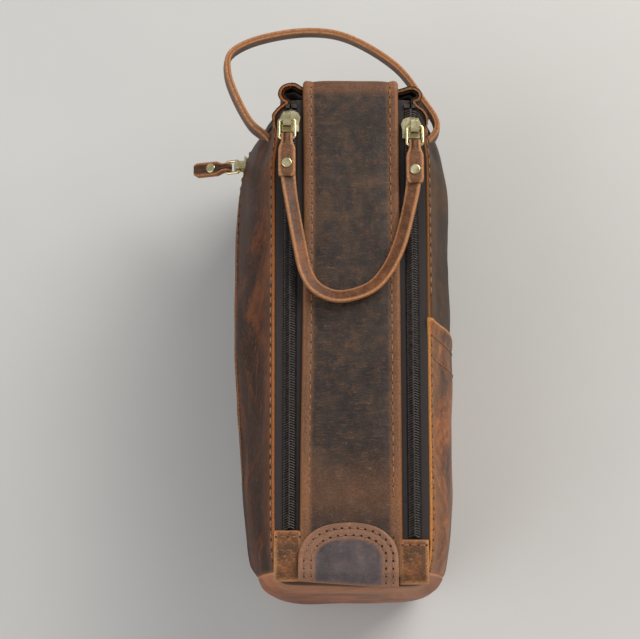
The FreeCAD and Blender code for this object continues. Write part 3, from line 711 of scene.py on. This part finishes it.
def wall_pieces():
    upper = side_grid(
        places(FAR_FRONT, NEAR_FRONT, 200, (2.86, 3.03)), lambda a: 70.2 + SLIT_HALF * slit_share(a), 46, 3
    )

    def upper_wear(grid, u, v):
        slit_edge = 0.8 * (1 - smoothstep(u / 2.6)) * (grid[..., 1] > SLIT[0])
        return rim_wear(grid, u, v) + slit_edge

    panel(
        "front_upper_leather", upper, LEATHER, WALL, "bag", "wall_leather",
        ("front_upper_panel", "front_rim_binding"), wear_fn=upper_wear, worn=(1, 1, 0.2, 0.5),
    )
    lower = np.zeros((34, 150, 3))
    for j, a in enumerate(places(FAR_FRONT, NEAR_FRONT, 150, (3.0, 5.0))):
        z1 = 69.8 - SLIT_HALF * slit_share(a)
        for i, t in enumerate(np.linspace(0, 1, 34)):
            lower[i, j] = wall_at(a, WALL_LOW_Z + (z1 - WALL_LOW_Z) * t)
    panel(
        "front_pocket_leather", uneven(lower, 5), LEATHER, WALL, "bag", "wall_leather",
        ("front_pocket_panel",), worn=(0.4, 1, 0.2, 0.5),
    )

    def low(a):
        return WALL_LOW_Z

    back_far = side_grid(places(0.0, FAR_BACK, 90, (0.97, 1.14)), low, 60, 7)
    panel(
        "back_far_leather", back_far, LEATHER, WALL_DARK, "bag", "wall_leather",
        ("back_far_panel", "back_rim_binding"), wear_fn=rim_wear, worn=(0.4, 1, 0.2, 0.2),
    )
    back_near = side_grid(places(NEAR_BACK, 8.035, 90, (7.0,)), low, 60, 9)
    v = lengths(back_near)[1]
    lap = 1 - smoothstep((v[:, -1:] - v) / 7.0)  # this panel lies over the other at their seam
    back_near = back_near + surface_normals(back_near) * (1.5 * lap)[..., None]
    panel(
        "back_near_leather", back_near, LEATHER, WALL_TAN, "bag", "wall_leather",
        ("back_near_panel",), wear_fn=rim_wear, worn=(0.4, 1, 0.5, 1),
    )
    near = side_grid(places(NEAR_FRONT, NEAR_BACK, 130, (5.0, 7.0)), low, 56, 11, 4.8, 3.9, 12)
    panel(
        "near_end_leather", near, LEATHER, ROLL, "bag", "wall_leather", ("near_end_panel",),
        wear_fn=lambda g, u, v: 0.3 * smoothstep((g[..., 2] - 96) / 30),
        worn=(0.4, 0.2, 0.7, 0.7), tone_fn=end_seam_painted_shade,
    )
    far = side_grid(places(FAR_BACK, FAR_FRONT, 110, (1.3, 2.7)), low, 56, 13, 1.2, 4.4)
    panel(
        "far_end_leather", far, LEATHER, WALL_DARK, "bag", "wall_leather", ("far_end_panel",),
        wear_fn=lambda g, u, v: 0.6 * (1 - smoothstep((u[-1:] - u) / 2)), worn=(0.4, 1, 0.2, 0.2),
    )
    rings = np.concatenate([[1.0, 0.992, 0.975, 0.95, 0.9], np.linspace(0.8, 0.004, 12)])
    heights = np.concatenate([[3.0, 1.5, 0.6, 0.15, 0.0], np.zeros(12)])
    base = np.zeros((len(rings), 121, 3))
    for i, (r, z) in enumerate(zip(rings, heights)):
        for j, a in enumerate(np.linspace(0, 8, 121)):
            base[i, j] = wall_point(a, 3.0) * (r, r, 0) + (0, 0, z)
    panel(
        "base_leather", base[:, ::-1], 1.8, WALL_DARK, "bag", "wall_leather", ("base_panel",),
        worn=(0.8, 0, 0, 0),
    )
    seam_rows(upper, back_far, back_near)
    lining_piece()


def seam_rows(upper, back_far, back_near):
    """Stitching along the walls' seams and rim."""
    for name, grid in (("front", upper), ("back_far", back_far), ("back_near", back_near)):
        normal = surface_normals(grid)
        stitches("stitch_rim_" + name, grid[-5, 3:-3], normal[-5, 3:-3], "bag")
    normal = surface_normals(upper)
    x, y = upper[0, :, 0], upper[0, :, 1]
    keep = np.flatnonzero((y > SLIT[0] - 4) & (y < SLIT[1] - 4) & (x < -40))
    stitches("stitch_pocket_top", upper[1, keep] + UP, normal[1, keep], "bag")
    normal = surface_normals(back_near)
    for k, name in ((-4, "a"), (-8, "b")):
        stitches("stitch_back_seam_" + name, back_near[2:-6, k], normal[2:-6, k], "bag")


def lining_piece():
    """The cloth lining: it follows the walls, a little loose, and covers the floor."""
    floor_rows = 10
    cols = places(0.0, 8.0, 180, (1.0, 3.0))
    side = np.array([[wall_at(a, z) for a in cols] for z in np.linspace(5.0, 133.0, 40)])
    x, z = side[..., 0], side[..., 2:]
    ripple = 0.5 * np.sin(np.arange(len(cols)) * 0.9)[None, :, None] * smoothstep((z - 20) / 60)
    clear = 2.9 + 1.1 * smoothstep((128 - z) / 10)
    walls = side - surface_normals(side) * (clear + ripple)
    # The front stands in from its wall, to leave room for the pocket's pouch.
    front_cut = 11.0 * smoothstep((128 - side[..., 2]) / 12) * (x < -30)
    walls[..., 0] += front_cut * smoothstep((-walls[..., 0] - 30) / 8)
    grid = np.zeros((floor_rows + len(walls), len(cols), 3))
    grid[floor_rows:] = walls
    for i in range(floor_rows):
        share = 1 - 0.996 * (1 - i / floor_rows)
        grid[i] = walls[0] * (share, share, 0) + (0, 0, 4.6)
    panel("lining_cloth", grid, 0.6, LINING, "bag", "lining_cloth", ("lining",), out=-1, worn=UNWORN)


# ---- the flap's strip, and what lies on the top ----
STRIP_BEND = ((0, -0.104, 0.140), (0, -0.086, 0.140))  # metres: where the flap starts to turn
STRIP_Z = 139.95
STITCH_IN = 4.3  # the strip's stitching is this far in from its edge
FOLD_Y, FOLD_R = 124.6, 3.9  # where the strip turns down into the lip, and how tightly
TAB_TOP = -97.0
TAB_X = -1.2  # middle of the tab
TAB_LONG = 19.0  # length of its rounded part
TAB_POWER = 2.35  # how square the rounded part is
TAB_SEAMS = (2.6, 6.0)  # two rows of stitching, this far in from its edge


def strip_grid():
    """The strip's outer face: along the top from under the tab, over the fold, down the lip."""
    ys = [np.linspace(-122.5, -104, 13), np.linspace(-102, -84, 12), np.linspace(-81, FOLD_Y, 112)]
    line = [(y, STRIP_Z) for y in np.concatenate(ys)]
    for turn in np.linspace(0, 90, 14)[1:]:
        t = math.radians(turn)
        line.append((FOLD_Y + FOLD_R * math.sin(t), STRIP_Z - FOLD_R + FOLD_R * math.cos(t)))
    lip_y = FOLD_Y + FOLD_R
    line += [(lip_y - 0.3 * math.sin(z / 9), z) for z in np.linspace(134.6, 106.6, 16)]
    line = np.array(line)
    knots = [-126, -99, -59, -34, 8, 58, 121]
    left = np.interp(line[:, 0], knots, [25.3, 25.3, 25.0, 24.6, 24.0, 23.6, 24.2])
    right = np.interp(line[:, 0], [-126, 0, 121], [24.4, 24.4, 24.1])
    shares = [np.linspace(-1, -0.72, 9), np.linspace(-0.66, 0.66, 17), np.linspace(0.72, 1, 9)]
    shares = np.concatenate(shares)
    grid = np.zeros((len(line), len(shares), 3))
    for i, (y, z) in enumerate(line):
        along = unit(line[min(i + 1, len(line) - 1)] - line[max(i - 1, 0)])
        for j, s in enumerate(shares):
            half = left[i] if s < 0 else right[i]
            inset = half * (1 - abs(s))
            groove = -0.34 * math.exp(-(((inset - STITCH_IN) / 0.8) ** 2))
            crown = -0.05
            if inset > STITCH_IN:
                crown = -0.42 + 0.42 * float(smoothstep((inset - STITCH_IN) / 7.0))
            edge = -0.35 * (1 - min(inset, 1.6) / 1.6) ** 2
            lift = groove + crown + edge
            grid[i, j] = (half * s, y - along[1] * lift, z + along[0] * lift)
    u, v = lengths(grid)
    calm = smoothstep(np.minimum(v, v[:, -1:] - v) / 8)
    grid[..., 2] += wave(u, v, 21) * 0.28 * calm * (grid[..., 2] > 136)
    return grid


def strip_wear(grid, u, v):
    """Rubbed along the margins and over the fold, and browner near the tab."""
    inset = np.minimum(v, v[:, -1:] - v)
    margin = 0.55 * (1 - smoothstep((inset - 4.4) / 2.4))
    fold = 0.4 * smoothstep((grid[..., 1] - 119.5) / 3.0)
    brown = 0.3 * np.exp(-(((grid[..., 1] + 82) / 14) ** 2))
    return margin + fold + brown


def top_pieces():
    grid = strip_grid()
    panel(
        "strip_leather", grid, 2.3, STRIP, ("bag", "lid", *STRIP_BEND), "strip_leather",
        ("lid_strip", "lid_anchor"), wear_fn=strip_wear, wear_reach=1.4,
    )
    normal = surface_normals(grid)
    runs = {"lid": np.flatnonzero(grid[:, 0, 1] > -85), "bag": np.flatnonzero(grid[:, 0, 1] < -103)}
    for label, col in (("left", 5), ("right", -6)):
        for body, rows in runs.items():
            stitches("stitch_strip_%s_%s" % (label, body), grid[rows, col], normal[rows, col], body)
    stitches("stitch_lip", grid[-5, 5:-5], normal[-5, 5:-5], "lid")
    cloth = [
        [(x, y, 136.9 + 0.12 * math.sin(y * 0.35) * math.cos(x * 0.3)) for x in np.linspace(-21.8, 21.8, 16)]
        for y in np.linspace(118, -86.5, 90)
    ]
    panel("lid_lining_cloth", cloth, 0.5, LINING, "lid", "lining_cloth", ("lid_lining",), worn=UNWORN)
    tab_piece()
    patches()


def tab_outline(y):
    """The tab's reach to the left and right of its middle at y."""
    t = min(1.0, (TAB_TOP - y) / TAB_LONG)
    bow = (1 - (1 - max(t, 0.0008)) ** TAB_POWER) ** (1 / TAB_POWER)
    return 24.6 * bow, 23.4 * bow


def tab_height(y):
    """The tab lies on the strip and goes down over the seam at the near end."""
    return 141.7 - 3.4 * float(smoothstep((-120.0 - y) / 8.0))


def tab_piece():
    """The half-round tab: a raised double-stitched border round a worn middle."""
    rounded = np.linspace(0.0, 1.0, 26) ** 2.2 * TAB_LONG
    grid = np.zeros((41, 41, 3))
    for row, t in zip(grid, np.concatenate([rounded, np.linspace(19.8, 28.2, 15)])):
        left, right = tab_outline(TAB_TOP - t)
        shares = np.linspace(-1, 1, 41)
        row[:, 0] = TAB_X + np.where(shares < 0, left, right) * shares
        # The near edge slants.
        row[:, 1] = TAB_TOP - t - 0.055 * max(0.0, t - TAB_LONG) / 8.4 * (row[:, 0] + 25)
    outline = np.vstack([grid[:, 0], grid[0], grid[:, -1]])[:, :2]

    def inset(g):
        """How far each point is in from the outline."""
        return np.linalg.norm(g[:, :, None, :2] - outline[None, None], axis=-1).min(axis=-1)

    dist = inset(grid)
    grid[..., 2] = [[tab_height(y) for y in row] for row in grid[..., 1]]
    grid[..., 2] += 0.75 * (1 - smoothstep((dist - 7.6) / 1.3)) - 0.9
    for seam in TAB_SEAMS:
        grid[..., 2] -= 0.25 * np.exp(-(((dist - seam) / 0.7) ** 2))
    u, v = lengths(grid)
    grid[..., 2] += wave(u, v, 31) * 0.15
    panel(
        "hinge_tab_leather", grid[::-1], 1.5, TAB, "bag", "strip_leather", ("hinge_tab",),
        wear_fn=lambda g, u, v: 0.7 * (1 - smoothstep((inset(g) - 7.4) / 1.4)),
    )
    for k, seam in enumerate(TAB_SEAMS):
        path = [(TAB_X - tab_outline(y)[0] + seam, y) for y in np.linspace(-122.6, -115, 7)]
        for turn in np.linspace(172, 8, 30):
            c, s = math.cos(math.radians(turn)), math.sin(math.radians(turn))
            wide, long = 24.0 - seam, TAB_LONG - seam
            r = abs(c) ** TAB_POWER / wide**TAB_POWER + abs(s) ** TAB_POWER / long**TAB_POWER
            r = r ** (-1 / TAB_POWER)
            path.append((TAB_X + r * c, TAB_TOP - TAB_LONG + r * s))
        path += [(TAB_X + tab_outline(y)[1] - seam, y) for y in np.linspace(-116.6, -126.0, 8)]
        path = [(x, y, tab_height(y) - 0.25) for x, y in path]
        stitches("stitch_tab_%d" % k, path, UP, "bag", pitch=3.6, thread=2.5, radius=0.34)


def patches():
    """The leather patches that cover the zips' near ends."""
    spans = (("front", 41, -37.6, -24.4, -124.8, -100.2), ("back", 43, 23.2, 36.9, -126.2, -104.6))
    for side, seed, x0, x1, y0, y1 in spans:
        grid = np.zeros((22, 15, 3))
        for row, y in zip(grid, np.linspace(y0, y1, 22)):
            far_drop = 0.9 * smoothstep((y - y1 + 1.2) / 1.2)
            near_drop = 2.6 * smoothstep((y0 + 5.5 - y) / 5.5)
            for point, s in zip(row, np.linspace(0, 1, 15)):
                bulge = 0.3 * math.sin(math.pi * s)
                point[:] = (x0 + (x1 - x0) * s, y, 139.2 + bulge - far_drop - near_drop)
        grid = uneven(grid, seed, 0.35)
        panel(
            side + "_patch_leather", grid, 1.5, PATCH, "bag", "edge_leather", (side + "_zip_end_patch",),
            wear_fn=lambda g, u, v: 0.1,
        )
        normal = surface_normals(grid)
        stitches(
            "stitch_patch_" + side, grid[-4, 1:-1], normal[-4, 1:-1], "bag", pitch=3.8, thread=2.7
        )


# ---- zips ----
ALONG = (0, 1, 0)  # every zip runs along the bag
PITCH = 1.28  # from one turn of a coil to the next
CHAIN_X = 30.5
CHAIN_Z = 137.45
TAPE_WIDE = 8.5
# One turn of a coil, from its outer edge to the middle and back: out, up and along.
TURN = [
    (3.1, 0.1, -0.95), (2.6, 0.7, -0.8), (1.5, 0.95, -0.3), (0.4, 0.98, 0.22), (-0.4, 0.9, 0.5),
    (-0.7, 0.3, 0.55), (-0.3, -0.3, 0.5), (1.6, -0.62, 0.2), (2.9, -0.35, -0.1),
]
# Across a tape: share of its width, and height beside the coil, which lies on the tape.
TAPE_PROFILE = [
    (0.0, -0.95), (0.2, -0.95), (0.3, -0.8), (0.36, -0.1), (0.42, 0.08), (0.5, 0.0), (0.75, 0.02), (1.0, 0.0),
]


def teeth(name, middle, side, up, y0, y1, body, nodes, phase=0.0):
    """One half of a coil zip from y0 to y1: its turns, each a slanted loop of plastic.

    middle is a point of the chain's middle line; side points to this half's outer edge.
    """
    middle, side, up, along = (np.asarray(v, float) for v in (middle, side, up, ALONG))
    shape = spline(np.array(TURN), 13)
    parts = []
    for k in range(int(abs(y1 - y0) / PITCH)):
        at = middle + along * (y0 + (k + 0.5) * PITCH + phase)
        path = at + side * shape[:, :1] + up * shape[:, 1:2] + along * shape[:, 2:3]
        parts.append(tube_mesh(path, 0.36))
    return make(name, *joined(parts), COIL, body, "zip_coil", nodes)


def tape_piece(name, corner, sign, long, body, nodes, dip=0.0, ear=None):
    """A flat tape from corner, its width towards sign, that goes down under the coil.

    ear names the side whose ear the tape keeps inside.
    """
    up, along = np.array(UP), np.array(ALONG, float)
    across = np.array((sign, 0, 0), float)
    rows = []
    for t in np.linspace(0, 1, max(12, int(long / 3))):
        here = np.asarray(corner, float) + along * long * t
        rows.append([here + across * TAPE_WIDE * s + up * (h - dip * s) for s, h in TAPE_PROFILE])
    grid = np.array(rows)
    if ear:
        rim = EARS[ear][np.argsort(EARS[ear][:, 1])]
        for row in grid:
            limit = max(3.4, abs(np.interp(row[0, 1], rim[:, 1], rim[:, 0])) - 1.6 - abs(row[0, 0]))
            row[:, 0] = row[0, 0] + (row[:, 0] - row[0, 0]) * min(1.0, limit / TAPE_WIDE)
    out = 1 if surface_normals(grid)[2, 2] @ up > 0 else -1
    panel(name, grid, 0.5, TAPE, body, "zip_tape", nodes, out=out, worn=UNWORN)


def top_zips():
    """Each chain has a half on the wall and a half on the flap, with a fixed run before its bend."""
    for side, sign, near in (("front", -1, -100), ("back", 1, -103.84)):
        middle = (sign * CHAIN_X, 0, CHAIN_Z)
        out, inward = (sign, 0, 0), (-sign, 0, 0)
        wall_x, flap_x = sign * (CHAIN_X + 0.3), sign * (CHAIN_X - 0.3)
        teeth(side + "_wall_teeth", middle, out, UP, near, 112.5, "bag", (side + "_wall_coil",))
        teeth(
            side + "_lid_teeth", middle, inward, UP, -85.92, 112.5, "lid", (side + "_lid_coil",), PITCH / 2
        )
        teeth(side + "_fixed_teeth", middle, inward, UP, near, -85.9, "bag", (), PITCH / 2)
        tape_piece(
            side + "_wall_tape_cloth", (wall_x, -106, 137.35), sign, 219.5, "bag",
            (side + "_wall_tape",), ear=side,
        )
        tape_piece(side + "_end_tape_cloth", (flap_x, -106, 137.3), -sign, 19.0, "bag", (), 0.3)
        tape_piece(
            side + "_lid_tape_cloth", (flap_x, -86.9, 137.3), -sign, 205, "lid", (side + "_lid_tape",), 0.3
        )


# ---- straps, handle and pocket ----


def fold_path(long, leaf, bar_r=2.0):
    """A strap end folded round a bar at the origin, as (along, up) points: both leaves go -along."""
    pts = [(-long, -leaf), (-long * 0.6, -leaf), (-5.0, -leaf)]
    turns = [math.radians(t) for t in range(-90, 91, 30)]
    pts += [(bar_r * math.cos(t), bar_r * math.sin(t)) for t in turns]
    pts += [(-5.0, leaf), (-long * 0.6, leaf), (-long - 0.8, leaf)]
    return spline([(p, q, 0) for p, q in pts], 70)[:, :2]


def strap(name, path, side, width, thick, body, nodes, wear, seam=0.12):
    """A finished leather strap; wear is added to what its shape gives."""
    verts, faces, flat, worn = strap_mesh(path, side, width, thick, seam)
    worn = np.clip(np.array(worn) + wear, 0, 1)
    make(name, verts, faces, BROWN, body, "handle_leather", nodes, flat, worn)


def strap_pulls():
    """The strap between the two top sliders, and its folded ends."""
    fold_z = 143.0
    nodes = ["strap_end_folds"]
    for side, x, y in (("front", -32.1, 96.1), ("back", 32.1, 92.6)):
        flat = fold_path(19.5, 1.62)
        path = np.array([(x, y + p, fold_z + q) for p, q in flat])
        width = 5.8 + 2.8 * smoothstep((-1.5 - flat[:, 0]) / 5.0)
        width = width * (0.72 + 0.28 * smoothstep((flat[:, 0] + 20.6) / 2.4))
        across = np.tile((1.0, 0, 0), (len(path), 1))
        strap(side + "_strap_fold", path, across, width, 1.7, "pull_strap", nodes, 0.22)
        nodes = []
    line = [
        (-32.1, 88.0, 143.0), (-31.4, 76.0, 143.0), (-29.9, 64.0, 143.5), (-25.6, 40.0, 144.1),
        (-22.6, 27.0, 144.2), (-17.0, 18.4, 144.2), (-6.0, 14.2, 144.2), (8.4, 18.0, 144.2),
        (17.2, 26.6, 144.2), (24.0, 40.6, 144.1), (28.6, 58.0, 143.6), (31.2, 72.0, 143.0),
        (32.1, 84.5, 143.0),
    ]
    path = spline(line, 120)
    along = unit(np.gradient(path, axis=0))
    flat_side = unit(np.cross(along, UP))
    share = np.linspace(0, 1, len(path))
    tilt = np.radians(30) * smoothstep(share / 0.16) * smoothstep((1 - share) / 0.16)
    side = flat_side * np.cos(tilt)[:, None] + np.array(UP) * np.sin(tilt)[:, None]
    strap("pull_strap_leather", path, side, 7.4, 1.9, "pull_strap", ("pull_strap",), 0.12)


def handle_piece():
    """The carry loop: each end comes out of its wall, and turns where it leaves it."""
    line = [
        (-39.5, 100.5), (-44.0, 105.8), (-51.6, 112.6), (-59.4, 127.0), (-63.8, 140.5),
        (-62.0, 151.0), (-47.0, 158.8), (-22.0, 162.9), (0.0, 159.2), (24.5, 143.5), (39.5, 122.5),
        (44.6, 113.6), (44.4, 107.6), (39.8, 101.5),
    ]
    path = spline([(x, y, 114) for x, y in line], 200)
    along = unit(np.gradient(path, axis=0))
    lean = 0.16 * np.sin(math.pi * np.linspace(0, 1, len(path)))
    side = np.array(UP) + np.cross(along, UP) * lean[:, None]
    bend = ("bag", "handle", (0, 0.1035, 0.114), (0, 0.1160, 0.114))
    nodes = ("handle_outer_layer", "handle_inner_layer", "handle_roots")
    strap("handle_strap", path, side, 12.0, 3.1, bend, nodes, 0.08, seam=0.3)


def front_x(y, z):
    """The front wall's outer face at y and z."""
    line = np.array([wall_at(a, z) for a in np.linspace(3.02, 5.0, 60)])
    order = np.argsort(line[:, 1])
    return np.interp(y, line[order, 1], line[order, 0])


def pocket_pieces():
    """The pocket's zip, and the leather tab on its pull."""
    zip_x = -53.9
    for label, sign in (("lower", -1), ("upper", 1)):
        teeth(
            "pocket_%s_teeth" % label, (zip_x, 0, POCKET_Z), (0, 0, sign), (-1, 0, 0), -69, 107.5, "bag",
            ("pocket_coils",) if sign > 0 else (), PITCH / 4 * (1 + sign),
        )
        shares = np.linspace(0, 1, 10)
        grid = np.zeros((90, len(shares), 3))
        for row, y in zip(grid, np.linspace(-71, 109.5, 90)):
            wall_x = front_x(y, POCKET_Z + sign * 10) + 2.6
            row[:, 0] = zip_x + (wall_x - zip_x) * smoothstep((shares - 0.2) / 0.8)
            row[:, 1] = y
            row[:, 2] = POCKET_Z + sign * (2.6 + 7.6 * shares)
        out = 1 if surface_normals(grid)[40, 1, 0] < 0 else -1
        nodes = ("pocket_%s_tape" % label,)
        panel(
            "pocket_%s_cloth" % label, grid, 0.5, TAPE, "bag", "zip_tape", nodes, out=out, worn=UNWORN
        )
    drop = math.radians(20)
    outward = np.array([-math.cos(drop), 0, -math.sin(drop)])
    upward = np.array([-math.sin(drop), 0, math.cos(drop)])
    bar = np.array([-59.4, 103.0, POCKET_Z]) + outward * 7.0
    flat = fold_path(18.0, 1.15, 1.95)
    path = np.array([bar - outward * p + upward * q for p, q in flat])
    width = 4.4 + 3.2 * smoothstep((-1.5 - flat[:, 0]) / 4.5)
    width = width * (0.75 + 0.25 * smoothstep((flat[:, 0] + 19) / 2.0))
    across = np.tile((0, 1.0, 0), (len(path), 1))
    strap("pocket_tab_leather", path, across, width, 1.7, "pocket_tab", ("pocket_pull_tab",), 0.05)


def keep_cad():
    """The CAD's own metal and hidden pieces keep their shapes and get finished materials."""
    hidden_cloth = woven("pouch_weave", (48, 40, 33), (96, 82, 68), 1.2, plain=True)
    looks = {
        "pocket_pouch": hidden_cloth, "base_stiffener": BOARD,
        "wall_top_stops": COIL, "lid_top_stops": COIL,
    }
    for node in (
        "front_slider", "back_slider", "front_pull_ring", "back_pull_ring",
        "strap_rivets", "pocket_slider", "pocket_pull_ring", "pocket_tab_rivet",
    ):
        looks[node] = BRASS
    for node, look in looks.items():
        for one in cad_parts[node].material_slots:
            one.material = look


# ---- build it ----
wall_pieces()
top_pieces()
top_zips()
strap_pulls()
handle_piece()
pocket_pieces()
keep_cad()

# ---- floor, light and camera ----
steps = np.linspace(-4000.0, 4000.0, 9)
mesh = bpy.data.meshes.new("floor")
mesh.from_pydata([(x * MM, y * MM, 0.0) for y in steps for x in steps], [], grid_faces(9, 9))
mesh.materials.append(FLOOR)
floor = bpy.data.objects.new("floor", mesh)
bpy.context.scene.collection.objects.link(floor)


def lamp(name, place, aim, size, power, colour):
    data = bpy.data.lights.new(name, "AREA")
    data.shape, data.size = "SQUARE", size
    data.energy, data.color = power, colour
    obj = bpy.data.objects.new(name, data)
    obj.location = place
    obj.rotation_euler = (Vector(aim) - Vector(place)).to_track_quat("-Z", "Y").to_euler()
    bpy.context.scene.collection.objects.link(obj)


lamp("key", (0.75, 0.75, 0.95), (0, 0, 0.08), 0.9, 16.0, (1.0, 0.97, 0.93))
lamp("fill", (-0.95, -0.5, 0.9), (0, 0, 0.05), 1.2, 7.0, (0.94, 0.97, 1.0))
world = bpy.data.worlds.new("studio")
world.use_nodes = True
background = world.node_tree.nodes["Background"]
background.inputs["Color"].default_value = (0.86, 0.88, 0.9, 1)
background.inputs["Strength"].default_value = 0.42
bpy.context.scene.world = world
bpy.context.scene.view_settings.view_transform = "Standard"

camera_data = bpy.data.cameras.new("camera")
camera_data.lens, camera_data.sensor_width = 107.0, 36.0
camera = bpy.data.objects.new("camera", camera_data)
camera.location = (-0.0155, -0.1919, 1.0595)
aim = Vector((-0.0155, 0.0035, 0.140))
camera.rotation_euler = (aim - camera.location).to_track_quat("-Z", "Y").to_euler()
bpy.context.scene.collection.objects.link(camera)
bpy.context.scene.camera = camera
